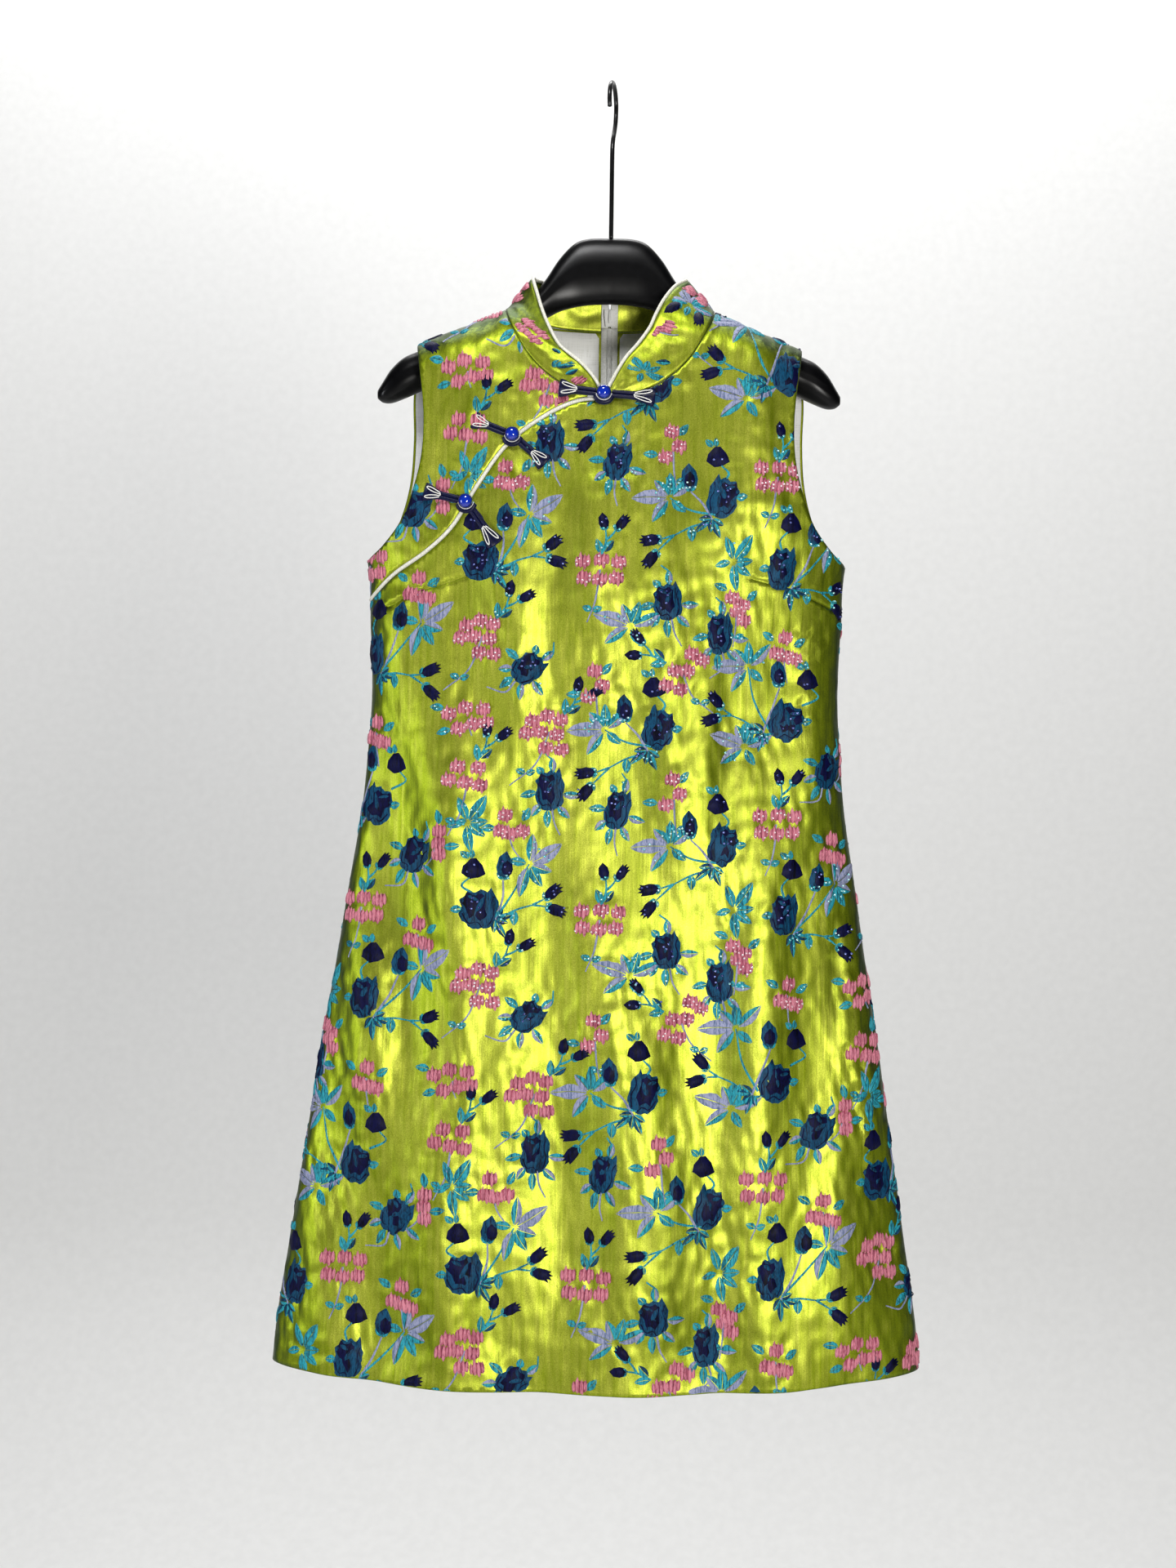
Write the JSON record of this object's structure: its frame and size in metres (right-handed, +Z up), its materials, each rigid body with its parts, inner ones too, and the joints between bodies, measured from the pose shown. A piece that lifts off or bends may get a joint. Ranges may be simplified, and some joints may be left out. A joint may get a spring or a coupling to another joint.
{
  "type": "sleeveless cheongsam dress on a hanger",
  "caption": "Sleeveless A-line cheongsam in flowered brocade with a stand collar, white piping, a slanted front opening and frog fasteners, hanging on a broad plastic hanger.",
  "frame": {"origin": "inside of the hanger hook's crown, where a rail holds the hanger", "axes": "+Z up; the dress's front faces -Y; +X is towards the wearer's left side"},
  "size_m": [0.5398, 0.1299, 1.0803],
  "materials": {
    "brocade": "woven satin brocade with raised flowers",
    "lining": "plain woven lining",
    "white_piping": "satin bias over cord",
    "frog_satin": "satin",
    "frog_cord": "twisted cord",
    "frog_ball": "clear glossy cobalt blue",
    "zip_tape": "woven tape and nylon coil",
    "zip_metal": "white enamel",
    "hanger_plastic": "moulded, satin gloss",
    "hanger_wire": "black coated steel wire"
  },
  "bodies": {
    "root": {"front_panel": "brocade", "front_shoulder_piece": "brocade", "back_panel_left": "brocade", "back_panel_right": "brocade", "collar_left": "brocade", "collar_right": "brocade", "lining_front": "lining", "lining_back_left": "lining", "lining_back_right": "lining", "piping_collar_left": "white_piping", "piping_collar_right": "white_piping", "piping_opening": "white_piping", "frog_collar_right_arm": "frog_satin", "frog_collar_left_arm": "frog_satin", "frog_chest_right_arm": "frog_satin", "frog_chest_left_arm": "frog_satin", "frog_side_right_arm": "frog_satin", "frog_side_left_arm": "frog_satin", "frog_collar_right_loops": "frog_cord", "frog_collar_left_loops": "frog_cord", "frog_chest_right_loops": "frog_cord", "frog_chest_left_loops": "frog_cord", "frog_side_right_loops": "frog_cord", "frog_side_left_loops": "frog_cord", "frog_collar_ball": "frog_ball", "frog_chest_ball": "frog_ball", "frog_side_ball": "frog_ball", "zip_chain": "zip_tape", "zip_tape_end_left": "zip_tape", "zip_tape_end_right": "zip_tape", "zip_slider": "zip_metal", "hanger_body": "hanger_plastic", "hanger_hook": "hanger_wire"},
    "pull": {"zip_pull": "zip_metal"}
  },
  "joints": [
    {"name": "zip_pull_hinge", "type": "hinge", "parent": "root", "child": "pull", "pos_m": [0, 0.03692, -0.18678], "axis": [1, 0, 0], "range_deg": [0, 160]}
  ]
}
